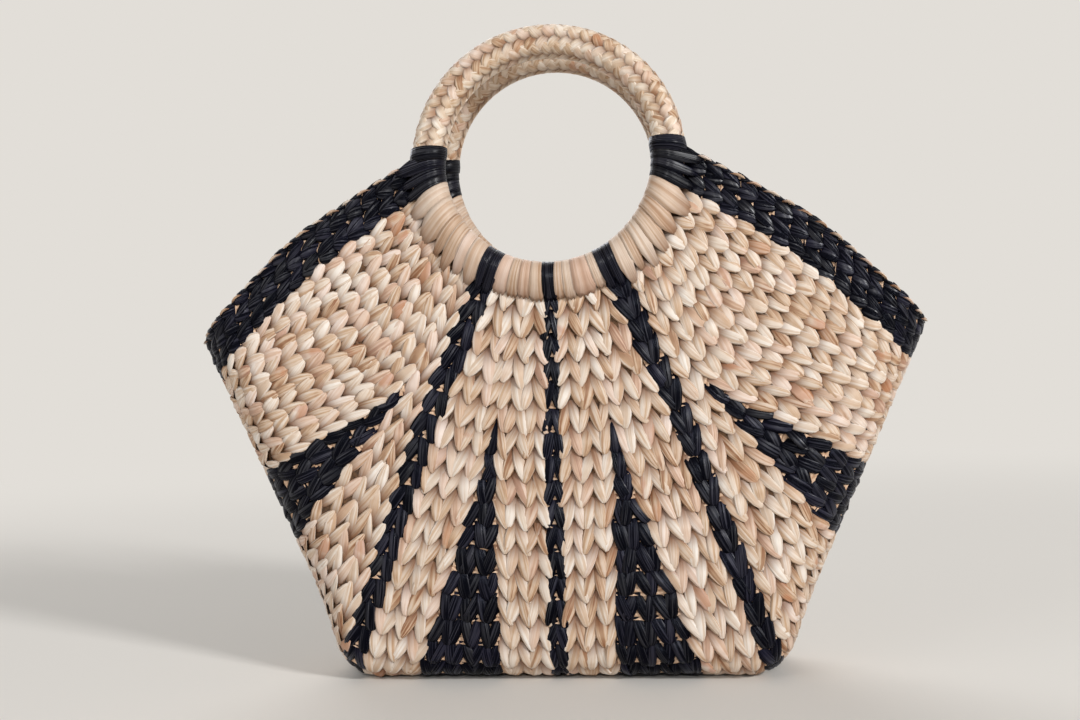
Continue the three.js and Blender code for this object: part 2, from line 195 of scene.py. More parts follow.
class Stake:
    """One line that stakes follow from the ring, down the wall and round the fold to the seam."""

    def __init__(self, turn, bend, foot, pitch):
        self.turn = turn
        self.bend = np.array(bend)
        self.foot = foot
        self.pitch = pitch
        self.line = (turn, self.bend, foot, pitch)
        self.first_row = lerp(*FIRST_ROWS, smoothstep(abs(turn), *np.radians(LOOP_GROWTH)))
        start = ring_point(turn, STAKE_START)
        end = outline_point(foot)
        before = self.bend + self.shortened(start - self.bend)
        after = self.bend + self.shortened(end - self.bend)
        share = np.linspace(0, 1, BEND_STEPS)[:, None]
        rounded = lerp(lerp(before, self.bend, share), lerp(self.bend, after, share), share)
        self.seen_points = np.vstack([start, rounded, end])
        self.seen_lengths = lengths_along(self.seen_points)
        self.settle_fold()

    @staticmethod
    def shortened(line):
        length = np.linalg.norm(line)
        return line * min(STAKE_BEND, length / 2) / length

    def settle_fold(self):
        seen = self.seen_lengths[-1]
        side_share = smoothstep(abs(self.foot), OUTLINE_STRAIGHT, OUTLINE_STRAIGHT + 2 * OUTLINE_ROUND)
        self.round = BASE_ROUND
        for _ in range(FOLD_PASSES):
            self.depth = float(half_depth(self.front_view(seen - self.round)[1]))
            self.round = min(self.depth, lerp(BASE_ROUND, self.depth, side_share))
        self.face = seen - self.round
        self.turned = self.face + self.round * math.pi / 2
        self.length = self.turned + max(0, self.depth - self.round)

    def front_view(self, seen):
        return tuple(np.interp(seen, self.seen_lengths, places) for places in self.seen_points.T)

    def surface(self, distances, side):
        """Points of the outer surface and the directions out of it, at distances from the ring."""
        on_face = distances < self.face
        angle = np.clip(distances - self.face, 0, self.turned - self.face) / self.round
        seen = np.where(on_face, distances, self.face + self.round * np.sin(angle))
        out, height = self.front_view(seen)
        past = np.maximum(0, distances - self.turned)
        folded = max(0, self.depth - self.round) - past + self.round * np.cos(angle)
        depth = np.where(on_face, half_depth(height), folded)
        points = np.stack([out, side * depth, height], axis=1)
        reach = WALL_STEP / 2
        ahead = np.stack(self.front_view(seen + reach), axis=1)
        heading = unit(ahead - np.stack(self.front_view(seen - reach), axis=1))
        lift = np.where(on_face, -depth_slope(height), 0)
        under = heading * np.sin(angle)[:, None]
        outward = np.stack([under[:, 0], side * np.cos(angle), under[:, 1] + lift], axis=1)
        return points, unit(outward)

    def mirrored(self):
        return Stake(-self.turn, (-self.bend[0], self.bend[1]), -self.foot, self.pitch)

    def towards(self, other, share):
        return Stake(*(lerp(*pair, share) for pair in zip(self.line, other.line)))


def edge(turn, out, down, foot, pitch):
    return Stake(math.radians(turn), (out, RING_HEIGHT - down), foot, pitch)


# Lines between neighbouring bundles, from the middle of the bag to the right-hand rim
EDGES = {
    "centre": edge(turn=CENTRE_TURN, out=0.0042, down=0.148, foot=0.0045, pitch=0.0127),
    "base_wedge": edge(turn=BASE_WEDGE_TURN, out=0.032, down=0.148, foot=0.031, pitch=0.0128),
    "base_wedge_end": edge(turn=BASE_WEDGE_TURN, out=0.032, down=0.148, foot=0.077, pitch=0.0130),
    "stripe": edge(turn=STRIPE_TURN, out=0.0646, down=0.1465, foot=0.110, pitch=0.0133),
    "stripe_end": edge(turn=STRIPE_END_TURN, out=0.0754, down=0.1435, foot=0.121, pitch=0.0133),
    "side_wedge": edge(turn=SIDE_WEDGE_TURN, out=0.079, down=0.123, foot=0.192, pitch=0.0125),
    "side_wedge_end": edge(turn=SIDE_WEDGE_TURN, out=0.079, down=0.123, foot=0.235, pitch=0.0121),
    "rim": edge(turn=RIM_TURN, out=0.129, down=0.055, foot=OUTLINE_LENGTH - RIM_FOOT, pitch=0.0104),
    "rim_end": edge(turn=RIM_END_TURN, out=0.141, down=0.037, foot=OUTLINE_LENGTH, pitch=0.0102),
}

# Each bundle's inner and outer edge, and how it is woven
BUNDLES = {
    "middle_stakes": ("centre", "base_wedge", "natural"),
    "base_wedge": ("base_wedge", "base_wedge_end", "black"),
    "inner_stakes": ("base_wedge_end", "stripe", "natural"),
    "stripe": ("stripe", "stripe_end", "black"),
    "lower_stakes": ("stripe_end", "side_wedge", "natural"),
    "side_wedge": ("side_wedge", "side_wedge_end", "black"),
    "upper_stakes": ("side_wedge_end", "rim", "plump"),
    "rim": ("rim", "rim_end", "plump_black"),
}
# Bundles that run on above the fold line, and their names there
FLAP_NODES = {
    "inner_stakes": "inner_stakes",
    "stripe": "stripe",
    "upper_stakes": "outer_stakes",
    "rim": "rim",
}
# Bundles whose first stitch points towards the middle of the bag. In the others it points away from it
TIPS_IN = ("centre_stripe", "left_stripe", "middle_stakes")
# On the left of each face, as seen from outside, these bundles' stitches have their full ends
# towards the ring
TURNED_ROUND = ("upper_stakes", "lower_stakes")


def at_share(values, share):
    """The value at a share of a wall, from the values in its columns."""
    return np.interp(share, WALL_SHARES, values)


class Wall:
    """The wall of one bundle, as a table of surface points to look places up in.

    A share runs across the bundle, so that share, distance and outward are a right-handed set.
    """

    def __init__(self, inner, outer, side, hand):
        self.inner_first = side * hand > 0
        first, last = (inner, outer) if self.inner_first else (outer, inner)
        stakes = [first.towards(last, share) for share in WALL_SHARES]
        rows = [(stake.length, stake.pitch, stake.first_row) for stake in stakes]
        self.lengths, self.pitches, self.first_rows = map(np.array, zip(*rows))
        self.distances = np.arange(0, self.lengths.max() + PAST_SEAM, WALL_STEP)
        tables = [stake.surface(self.distances, side) for stake in stakes]
        self.points, self.outward = map(np.array, zip(*tables))
        widths = np.linalg.norm(np.diff(self.points, axis=0), axis=2).sum(axis=0)
        self.start = self.distances[np.argmax(widths > WEDGE_START)]

    def at(self, share, distance):
        column = share * (WALL_COLUMNS - 1)
        row = distance / WALL_STEP
        left = np.clip(np.floor(column).astype(int), 0, WALL_COLUMNS - 2)
        upper = np.clip(np.floor(row).astype(int), 0, len(self.distances) - 2)
        across = (column - left)[..., None]
        down = (row - upper)[..., None]
        found = []
        for table in (self.points, self.outward):
            top = lerp(table[left, upper], table[left + 1, upper], across)
            bottom = lerp(table[left, upper + 1], table[left + 1, upper + 1], across)
            found.append(lerp(top, bottom, down))
        return found[0], unit(found[1])

    def spread(self, share, distance):
        """Metres to a share, across the bundle."""
        reach = 0.5 / WALL_COLUMNS
        left = self.at(share - reach, distance)[0]
        right = self.at(share + reach, distance)[0]
        return np.linalg.norm(right - left, axis=-1) / (2 * reach)


class Ring:
    """A ring handle's own plane, leaning in with the wall that hangs from it."""

    def __init__(self, side):
        self.side = side
        self.centre = np.array([0, side * RING_OUT, RING_HEIGHT])
        steepness = math.hypot(1, LEAN)
        self.down = np.array([0, side * LEAN, -1]) / steepness
        self.outward = np.array([0, side, LEAN]) / steepness

    def at(self, turn, beyond, out):
        """Point at a turn round the ring, beyond the cane in the ring's plane and out of it."""
        radial = np.sin(turn)[..., None] * np.array([1, 0, 0]) + np.cos(turn)[..., None] * self.down
        return self.centre + (RING_RADIUS + beyond)[..., None] * radial + out[..., None] * self.outward


# Materials


class Value:
    """A node's output. Sums and products of values add Math nodes."""

    def __init__(self, nodes, socket):
        self.nodes = nodes
        self.socket = socket

    def maths(self, operation, first, second):
        return self.nodes.node("ShaderNodeMath", {0: first, 1: second}, operation=operation)

    def __add__(self, other):
        return self.maths("ADD", self, other)

    def __sub__(self, other):
        return self.maths("SUBTRACT", self, other)

    def __rsub__(self, other):
        return self.maths("SUBTRACT", other, self)

    def __mul__(self, other):
        return self.maths("MULTIPLY", self, other)

    __radd__ = __add__
    __rmul__ = __mul__


# A colour Mix node has several sockets of one name, so they are told apart by their places
MIX_SHARE = 0
MIX_FIRST = 6
MIX_SECOND = 7
MIX_RESULT = 2


class Nodes:
    """A tree of shader nodes."""

    def __init__(self, tree):
        self.tree = tree

    def feed(self, socket, value):
        if isinstance(value, Value):
            self.tree.links.new(value.socket, socket)
        else:
            socket.default_value = value

    def node(self, kind, inputs, output=0, **settings):
        node = self.tree.nodes.new(kind)
        for name, setting in settings.items():
            setattr(node, name, setting)
        for key, value in inputs.items():
            self.feed(node.inputs[key], value)
        return Value(self, node.outputs[output])


class Finish(Nodes):
    """A material, built from its nodes."""

    def __init__(self, name):
        self.material = bpy.data.materials.new(name)
        self.material.use_nodes = True
        super().__init__(self.material.node_tree)
        self.shader = self.tree.nodes["Principled BSDF"]

    def ramp(self, share, *stops):
        """Colours that run between stops. Each stop is a place and a colour as it is seen."""
        ramp = self.node("ShaderNodeValToRGB", {"Fac": share})
        elements = ramp.socket.node.color_ramp.elements
        while len(elements) < len(stops):
            elements.new(1)
        for element, (place, *seen) in zip(elements, stops):
            element.position = place
            element.color = shade(*seen)
        return ramp

    def mix(self, share, first, second):
        inputs = {MIX_SHARE: share, MIX_FIRST: first, MIX_SECOND: second}
        return self.node("ShaderNodeMix", inputs, MIX_RESULT, data_type="RGBA")

    def steps(self, value, low, high):
        inputs = {"Value": value, "From Min": low, "From Max": high}
        return self.node("ShaderNodeMapRange", inputs, interpolation_type="SMOOTHSTEP")

    def attribute(self, name):
        return self.node("ShaderNodeAttribute", {}, output="Fac", attribute_name=name)

    def noise(self, vector, scale, detail):
        return self.node("ShaderNodeTexNoise", {"Vector": vector, "Scale": scale, "Detail": detail})

    def place(self):
        return self.node("ShaderNodeTexCoord", {}, output="Object")

    def bump(self, height, strength, distance):
        inputs = {"Height": height, "Strength": strength, "Distance": distance}
        return self.node("ShaderNodeBump", inputs)

    def set(self, **sockets):
        for name, value in sockets.items():
            words = (word if word.isupper() else word.capitalize() for word in name.split("_"))
            self.feed(self.shader.inputs[" ".join(words)], value)


def shade(red, green, blue):
    """A colour as it is seen, as the linear colour that a shader takes, by the sRGB curve."""
    seen = np.array([red, green, blue]) / 255
    linear = np.where(seen <= 0.04045, seen / 12.92, ((seen + 0.055) / 1.055) ** 2.4)
    return (*(float(part) for part in linear), 1)


STREAK_FIBRES = (0.36, 0.64)  # levels between which a fibre becomes a streak
TONE_SHIFT = 57  # so that each strip has fibres of its own
TINT_SHIFT = 31


class StripFinish(Finish):
    """Flat leaf strip: fibres run along it, and each strip has its own tone and tint."""

    def __init__(self, name, fibres):
        super().__init__(name)
        self.tone = self.attribute("tone")
        self.tint = self.attribute("tint")
        strip = self.node("ShaderNodeUVMap", {}, uv_map="strip")
        self.across = self.node("ShaderNodeSeparateXYZ", {"Vector": strip}, output="X")
        self.along = Value(self, self.across.socket.node.outputs["Y"])
        self.fibres = self.grain(across=fibres, along=0.9, detail=4)
        self.streaks = self.steps(self.fibres, *STREAK_FIBRES)
        self.blotches = self.grain(across=2, along=2.4, detail=2)

    def grain(self, across, along, detail):
        shift = self.tone * TONE_SHIFT + self.tint * TINT_SHIFT
        inputs = {"X": self.across * across, "Y": self.along * along, "Z": shift}
        vector = self.node("ShaderNodeCombineXYZ", inputs)
        return self.noise(vector, scale=1, detail=detail)


# How much a strip's tone, streaks and blotches lighten it
STRAW_TONE = 0.42
STRAW_STREAKS = 0.42
STRAW_BLOTCHES = 0.5
STRAW_DARKENING = 0.22
PINK = shade(224, 188, 174)
PINK_TINTS = (0.3, 0.05)
PINK_SHARE = 0.3
RUST = shade(176, 108, 66)
RUST_TINTS = (0.88, 0.98)
RUST_BLOTCHES = (0.4, 0.6)
# Painted shade: each strip is darkened towards this brown where it goes under the row above, and at a
# loop's tails where they go into the weave
TUCKED_SHADE = shade(112, 70, 42)
TUCKED_SHADE_SHARE = 0.85
STRAW_ROUGHNESS = 0.34
STRAW_FIBRE_ROUGHNESS = 0.3
STRAW_GLOSS = 0.3


def straw_finish(name, fibres, rusting, painted_shade_places, stops):
    finish = StripFinish(name, fibres)
    level = finish.tone * STRAW_TONE + finish.streaks * STRAW_STREAKS
    level = level + finish.blotches * STRAW_BLOTCHES - STRAW_DARKENING
    straw = finish.ramp(level, *stops)
    pink = finish.mix(finish.steps(finish.tint, *PINK_TINTS) * PINK_SHARE, straw, PINK)
    rust = finish.steps(finish.tint, *RUST_TINTS) * finish.steps(finish.blotches, *RUST_BLOTCHES)
    rusty = finish.mix(rust * rusting, pink, RUST)
    # Painted shade towards the strip's hidden end, where it goes under the row above or into the weave
    tucked_shade = finish.steps(finish.along, *painted_shade_places) * TUCKED_SHADE_SHARE
    colour = finish.mix(tucked_shade, rusty, TUCKED_SHADE)
    finish.set(base_color=colour, specular_IOR_level=STRAW_GLOSS)
    finish.set(roughness=finish.fibres * STRAW_FIBRE_ROUGHNESS + STRAW_ROUGHNESS)
    finish.set(normal=finish.bump(finish.fibres, strength=0.6, distance=0.0006))
    return finish.material


DYE_TONE = 0.5
DYE_STREAKS = 0.5
DYE_STOPS = ((0.1, 3, 3, 8), (0.55, 7, 7, 16), (0.95, 26, 24, 40))
WORN = shade(104, 92, 88)
WORN_FIBRES = (0.68, 0.8)
WORN_TINTS = (0.6, 1)
WORN_SHARE = 0.3
DYE_ROUGHNESS = 0.14
DYE_FIBRE_ROUGHNESS = 0.28
DYE_SHEEN = (0.68, 0.76, 1, 1)
DYE_GLOSS = 0.06
DYE_STRETCH = 0.6  # of its highlights, over the fibres
GLINT_FIBRES = (0.44, 0.64)
GLINT_PLACES = (0.78, 0.4)  # fade in from the base of a stitch to its middle
DYE_COAT = 0.95
DYE_COAT_ROUGHNESS = 0.36


def dyed_finish(name, fibres):
    finish = StripFinish(name, fibres)
    level = finish.tone * DYE_TONE + finish.streaks * DYE_STREAKS
    dye = finish.ramp(level, *DYE_STOPS)
    worn = finish.steps(finish.fibres, *WORN_FIBRES) * finish.steps(finish.tint, *WORN_TINTS)
    colour = finish.mix(worn * WORN_SHARE, dye, WORN)
    finish.set(base_color=colour, roughness=finish.fibres * DYE_FIBRE_ROUGHNESS + DYE_ROUGHNESS)
    finish.set(normal=finish.bump(finish.fibres, strength=0.9, distance=0.0009))
    finish.set(specular_IOR_level=DYE_GLOSS, specular_tint=DYE_SHEEN, anisotropic=DYE_STRETCH)
    glints = finish.steps(finish.fibres, *GLINT_FIBRES) * finish.steps(finish.along, *GLINT_PLACES)
    finish.set(coat_weight=glints * DYE_COAT, coat_roughness=DYE_COAT_ROUGHNESS, coat_tint=DYE_SHEEN)
    return finish.material


DARK_GRAIN = 0.3  # levels of the grain for its dark and light colours
LIGHT_GRAIN = 0.7
UNDERWEAVE_ROUGHNESS = 0.8
CANE_ROUGHNESS = 0.4
CANE_GRAIN_ROUGHNESS = 0.3


def underweave_finish(name, light, dark):
    finish = Finish(name)
    strands = finish.noise(finish.place(), scale=420, detail=3)
    colour = finish.ramp(strands, (DARK_GRAIN, *dark), (LIGHT_GRAIN, *light))
    bump = finish.bump(strands, strength=0.6, distance=0.001)
    finish.set(base_color=colour, roughness=UNDERWEAVE_ROUGHNESS, normal=bump)
    return finish.material


def cane_finish():
    finish = Finish("bent_cane")
    grain = finish.noise(finish.place(), scale=260, detail=4)
    colour = finish.ramp(grain, (DARK_GRAIN, 150, 108, 66), (LIGHT_GRAIN, 196, 156, 104))
    finish.set(base_color=colour, roughness=grain * CANE_GRAIN_ROUGHNESS + CANE_ROUGHNESS)
    finish.set(normal=finish.bump(grain, strength=0.3, distance=0.0005))
    return finish.material


STRIP_FIBRES = 12  # across a strip
DYED_FIBRES = 26
LOOP_FIBRES = 9

straw = straw_finish(
    "dried_straw_strip",
    STRIP_FIBRES,
    rusting=0.6,
    painted_shade_places=(0.42, 0.8),
    stops=((0, 138, 92, 60), (0.25, 196, 164, 134), (0.6, 220, 203, 186), (0.95, 238, 230, 221)),
)
looped_straw = straw_finish(
    "looped_straw",
    LOOP_FIBRES,
    rusting=0.25,
    painted_shade_places=(0.34, 0.56),
    stops=((0, 168, 132, 102), (0.3, 196, 168, 144), (0.6, 208, 187, 168), (0.95, 222, 206, 192)),
)
plaited_straw = straw_finish(
    "plaited_straw",
    STRIP_FIBRES,
    rusting=0.5,
    painted_shade_places=(0.42, 0.8),
    stops=((0, 148, 104, 70), (0.25, 198, 168, 138), (0.6, 222, 204, 184), (0.95, 240, 230, 218)),
)
black_strip = dyed_finish("black_dyed_strip", DYED_FIBRES)
# The natural bundles' under-layer stands for the weave's inner strands, coloured dark brown as painted
# shade in the slits between stitches
painted_shade_underweave = underweave_finish("painted_shade_underweave", light=(116, 82, 52), dark=(56, 38, 24))
weft_straw = underweave_finish("weft_straw", light=(228, 198, 170), dark=(188, 148, 116))
cane = cane_finish()


# Models: one stitch, one strip looped over the ring, one turn of a binding


def select_only(*pieces):
    bpy.ops.object.select_all(action="DESELECT")
    for piece in pieces:
        piece.select_set(True)
    bpy.context.view_layer.objects.active = pieces[0]


def add_object(name, data):
    piece = bpy.data.objects.new(name, data)
    bpy.context.scene.collection.objects.link(piece)
    return piece


def thicken(piece, thickness, offset):
    solid = piece.modifiers.new("thickness", "SOLIDIFY")
    solid.thickness = thickness
    solid.offset = offset
    bpy.ops.object.modifier_apply(modifier=solid.name)


def read(items, field, size, kind=float):
    """One field of all items of a mesh, as an array."""
    values = np.empty(len(items) * size, kind)
    items.foreach_get(field, values)
    return values


def select_corners(test):
    """In edit mode, selects the corners whose place passes a test, and nothing else."""
    bpy.ops.mesh.select_all(action="DESELECT")
    data = bpy.context.object.data
    mesh = bmesh.from_edit_mesh(data)
    for corner in mesh.verts:
        corner.select_set(test(corner.co))
    mesh.select_flush_mode()
    bmesh.update_edit_mesh(data)


class Pattern:
    """The mesh of a modelled piece, kept to be copied. A stitch's middle is half a unit below its base."""

    def __init__(self, model):
        mesh = model.data
        self.points = read(mesh.vertices, "co", 3).reshape(-1, 3)
        self.corners = read(mesh.loops, "vertex_index", 1, int)
        self.starts = read(mesh.polygons, "loop_start", 1, int)
        self.strip = read(mesh.uv_layers[0].data, "uv", 2)
        self.from_middle = -self.points[:, 2] - 0.5
        bpy.data.objects.remove(model)


# Place along a stitch, its width and thickness there, and how far it stands off its bed
POINTED_STITCH = (
    (-0.04, 0.66, 0.45, -0.90),
    (-0.22, 0.90, 0.75, -0.55),
    (-0.42, 1.00, 0.95, -0.10),
    (-0.62, 0.95, 1.0, 0.18),
    (-0.82, 0.74, 0.85, 0.28),
    (-0.95, 0.42, 0.55, 0.18),
)
PLUMP_STITCH = (
    (-0.04, 0.70, 0.50, -0.95),
    (-0.20, 0.92, 0.80, -0.55),
    (-0.40, 1.00, 1.05, 0.00),
    (-0.62, 1.00, 1.15, 0.28),
    (-0.84, 0.80, 0.95, 0.26),
    (-0.96, 0.44, 0.55, -0.05),
)
BLUNT_STITCH = (
    (-0.04, 0.78, 0.45, -1.05),
    (-0.18, 0.94, 0.75, -0.55),
    (-0.38, 1.00, 0.95, 0.00),
    (-0.62, 1.00, 1.0, 0.24),
    (-0.85, 0.90, 0.85, 0.20),
    (-0.97, 0.64, 0.55, 0.02),
)
STITCH_BASE_LIFT = -1.2
STITCH_TIP_LIFT = 0.02
STITCH_SIDES = 8
SPHERE_RADIUS = 0.5
SAME_PLACE = 0.01  # of a stitch's length
ASIDE = 10  # corners that are done wait this far below, out of the next selection


def model_stitch(stations):
    """One stitch, hanging from its base at the origin to its tip one unit below, crowned towards +Y."""
    rings = len(stations) + 1
    bpy.ops.mesh.primitive_uv_sphere_add(segments=STITCH_SIDES, ring_count=rings, radius=SPHERE_RADIUS)
    stitch = bpy.context.object
    bpy.ops.object.mode_set(mode="EDIT")
    select_corners(lambda corner: abs(corner.x) < SAME_PLACE < corner.y)
    bpy.ops.transform.resize(value=(1, STITCH_FLATNESS, 1), center_override=(0, 0, 0))
    for number, (place, width, thickness, lift) in enumerate(stations, start=1):
        angle = math.pi * number / rings
        height = SPHERE_RADIUS * math.cos(angle)
        select_corners(lambda corner: abs(corner.z - height) < SAME_PLACE)
        across = width / math.sin(angle)
        through = thickness / math.sin(angle)
        bpy.ops.transform.resize(value=(across, through, 1), center_override=(0, 0, height))
        bpy.ops.transform.translate(value=(0, lift, place - height - ASIDE))
    for pole, lift in ((SPHERE_RADIUS, STITCH_BASE_LIFT), (-SPHERE_RADIUS, STITCH_TIP_LIFT)):
        select_corners(lambda corner: abs(corner.z - pole) < SAME_PLACE)
        bpy.ops.transform.translate(value=(0, lift, -SPHERE_RADIUS - ASIDE))
    bpy.ops.mesh.select_all(action="SELECT")
    bpy.ops.transform.translate(value=(0, 0, ASIDE))
    bpy.ops.object.mode_set(mode="OBJECT")
    return Pattern(stitch)


LOOP_THICKNESS = 0.0007
LOOP_WIDTH = 0.006
LOOP_TURNS = 14
LOOP_COLUMNS = 4
CLOSE = 1e-5
# How far a tail goes below the cane's middle and out of it, its widths from the tip up, and how
# deep it is frayed
Tail = collections.namedtuple("Tail", "down out widths fray")
LONG_TAIL = Tail(down=0.0172, out=0.0024, widths=(0.30, 0.62, 0.90), fray=0.0008)
SHORT_TAIL = Tail(down=0.0128, out=0.0028, widths=(0.60, 0.88, 1.0), fray=0.0014)


def model_loop(tail):
    """One flat strip that comes up from the weave, goes over the cane and down again, with frayed ends."""
    reach = math.hypot(tail.down, tail.out)
    leave = math.atan2(tail.out, tail.down) + math.acos(LOOPED_RADIUS / reach)
    tail_top = Vector((0, LOOPED_RADIUS * math.sin(leave), -LOOPED_RADIUS * math.cos(leave)))
    tail_end = Vector((0, tail.out, -tail.down))
    slope = math.atan2(tail_top.z - tail_end.z, tail_top.y - tail_end.y)
    steps = len(tail.widths)
    bpy.ops.mesh.primitive_grid_add(x_subdivisions=LOOP_COLUMNS, y_subdivisions=steps, size=1)
    loop = bpy.context.object
    loop.scale = (LOOP_WIDTH, (tail_top - tail_end).length, 1)
    loop.rotation_euler = (slope, 0, 0)
    loop.location = (tail_top + tail_end) / 2
    bpy.ops.object.transform_apply()
    bpy.ops.object.mode_set(mode="EDIT")
    select_corners(lambda corner: corner.z > tail_top.z - CLOSE)
    over = 2 * (leave - math.pi)
    bpy.ops.mesh.spin(steps=LOOP_TURNS, angle=over, center=(0, 0, 0), axis=(1, 0, 0))
    step = (tail_end - tail_top) / steps
    move = {"value": (0, -step.y, step.z)}
    for _ in range(steps):
        bpy.ops.mesh.extrude_region_move(TRANSFORM_OT_translate=move)
    for number, width in enumerate(tail.widths):
        height = tail_end.z - number * step.z
        select_corners(lambda corner: abs(corner.z - height) < CLOSE)
        bpy.ops.transform.resize(value=(width, 1, 1), center_override=(0, 0, 0))
    # Notches in the ends, half-way to their edges, where no other row has a corner
    notch = tail.widths[0] * LOOP_WIDTH / LOOP_COLUMNS
    select_corners(lambda corner: abs(abs(corner.x) - notch) < CLOSE)
    bpy.ops.transform.translate(value=(0, 0, tail.fray))
    bpy.ops.mesh.select_all(action="SELECT")
    bpy.ops.mesh.normals_make_consistent(inside=False)
    bpy.ops.object.mode_set(mode="OBJECT")
    thicken(loop, LOOP_THICKNESS, offset=0)
    map_loop_strip(loop.data)
    return Pattern(loop)


def map_loop_strip(mesh):
    """Lays the strip's map along the loop: across it, and round from one tail to the other."""
    for corner in mesh.loops:
        place = mesh.vertices[corner.vertex_index].co
        along = abs(math.atan2(place.y, place.z)) / (2 * math.pi)
        mesh.uv_layers[0].data[corner.index].uv = (place.x / LOOP_WIDTH + 0.5, along)


BINDING_SECTION = 0.0006
BINDING_FLATTENING = 4.5


def model_binding_turn():
    """One flat turn of a binding, round the X axis."""
    bpy.ops.mesh.primitive_torus_add(
        major_radius=LOOPED_RADIUS,
        minor_radius=BINDING_SECTION,
        major_segments=20,
        minor_segments=6,
        rotation=(0, math.pi / 2, 0),
    )
    turn = bpy.context.object
    turn.scale.z = BINDING_FLATTENING
    bpy.ops.object.transform_apply()
    map_loop_strip(turn.data)
    return Pattern(turn)


pointed_stitch = model_stitch(POINTED_STITCH)
plump_stitch = model_stitch(PLUMP_STITCH)
blunt_stitch = model_stitch(BLUNT_STITCH)
long_loop = model_loop(LONG_TAIL)
short_loop = model_loop(SHORT_TAIL)
binding_turn = model_binding_turn()


# Copies


Weave = collections.namedtuple("Weave", "stitch length fullness strip underweave slot")
# A stitch's length is measured by the row pitch, so that tips lie over the next row, and its
# fullness by its share of the row
WEAVES = {
    "natural": Weave(pointed_stitch, 1.66, 1.26, straw, painted_shade_underweave, "natural_stakes"),
    "plump": Weave(plump_stitch, 1.56, 1.32, straw, painted_shade_underweave, "natural_stakes"),
    "black": Weave(blunt_stitch, 1.48, 1.28, black_strip, weft_straw, "black_stakes"),
    "full_black": Weave(blunt_stitch, 1.52, 1.4, black_strip, weft_straw, "black_stakes"),
    "plump_black": Weave(plump_stitch, 1.54, 1.42, black_strip, weft_straw, "black_stakes"),
}


def make_copies(name, pattern, points, chance, material):
    """One mesh of many copies. points holds each copy's corners; each copy has its tone and tint."""
    copies, size = points.shape[:2]
    corners = (pattern.corners + size * np.arange(copies)[:, None]).ravel()
    starts = (pattern.starts + len(pattern.corners) * np.arange(copies)[:, None]).ravel()
    mesh = bpy.data.meshes.new(name)
    mesh.vertices.add(copies * size)
    mesh.vertices.foreach_set("co", points.ravel())
    mesh.loops.add(len(corners))
    mesh.polygons.add(len(starts))
    mesh.polygons.foreach_set("loop_start", starts)
    mesh.polygons.foreach_set("vertices", corners)
    mesh.shade_smooth()
    layer = mesh.uv_layers.new(name="strip")
    layer.data.foreach_set("uv", np.tile(pattern.strip, copies))
    for attribute in ("tone", "tint"):
        values = mesh.attributes.new(attribute, "FLOAT", "POINT")
        values.data.foreach_set("value", np.repeat(chance.random(copies), size))
    mesh.update(calc_edges=True)
    mesh.materials.append(material)
    return add_object(name, mesh)


def join(pieces):
    select_only(*pieces)
    bpy.ops.object.join()
    return pieces[0]


def stitch_places(wall, weave, tips_in, chance):
    """Stitches that lean in turn to either side, row after row from the ring to the seam.

    Each has its share, distance, lean, width, length and the wall's spread there.
    """
    places = []
    pitch = wall.pitches.mean()
    for row in range(int(wall.lengths.max() / pitch) + 1):
        distances = wall.first_rows + (row + 0.5) * wall.pitches
        places += row_places(wall, weave, tips_in, chance, distances, wall.lengths - LAST_ROW_ROOM * pitch)
    places += row_places(wall, weave, tips_in, chance, wall.lengths - pitch / 2, wall.lengths + pitch)
    return np.array(places).T


def row_places(wall, weave, tips_in, chance, distances, ends):
    """One row of stitches, given its distance and the last place for a tip in each column."""
    reached = lengths_along(wall.at(WALL_SHARES, np.minimum(distances, wall.lengths))[0])
    width = reached[-1]
    if distances.mean() < wall.start:
        return []
    stitches = 1 if width < NARROWEST_PAIR else max(2, round(width / STITCH_WIDTH))
    places = []
    for number in range(stitches):
        share = np.interp((number + 0.5) / stitches * width, reached, WALL_SHARES)
        pitch = at_share(wall.pitches, share)
        distance = at_share(distances, share)
        if distance + pitch / 2 > at_share(ends, share):
            continue
        from_inner = number if wall.inner_first else stitches - 1 - number
        points_out = (from_inner + tips_in) % 2 == 0
        lean = STITCH_LEAN if points_out == wall.inner_first else -STITCH_LEAN
        if stitches == 1:
            lean = 0
        lean += chance.normal(0, UNEVEN_LEAN)
        full_width = max(width / stitches, NARROWEST_STITCH) * weave.fullness
        stitch_width = full_width * chance.uniform(*UNEVEN_WIDTH)
        length = pitch * weave.length * chance.uniform(*UNEVEN_LENGTH)
        distance += chance.normal(0, UNEVEN_ROW)
        spread = float(wall.spread(share, distance))
        places.append((share, distance, lean, stitch_width, length, spread))
    return places


def lay_stitches(stitch, wall, places, chance, inside, facing):
    """Corners of every copy of the stitch, bent to the wall's outer or inner surface."""
    share, distance, lean, width, length, spread = (column[:, None] for column in places)
    across = stitch.points[:, 0] * width * facing
    along = stitch.from_middle * length * facing
    thickness = STITCH_THICKNESS * chance.uniform(*UNEVEN_SIZE, share.shape)
    roll = chance.normal(0, STITCH_ROLL, share.shape)
    lift = stitch.points[:, 1] * thickness - STITCH_INSET + across * roll
    turned = across * np.cos(lean) + along * np.sin(lean)
    down = along * np.cos(lean) - across * np.sin(lean)
    if inside:
        turned = -turned
        lift = -WALL - lift
    points, outward = wall.at(share + turned / spread, distance + down)
    return points + outward * lift[..., None]


SHEET_COLUMNS = 8
SHEET_ROWS = 60


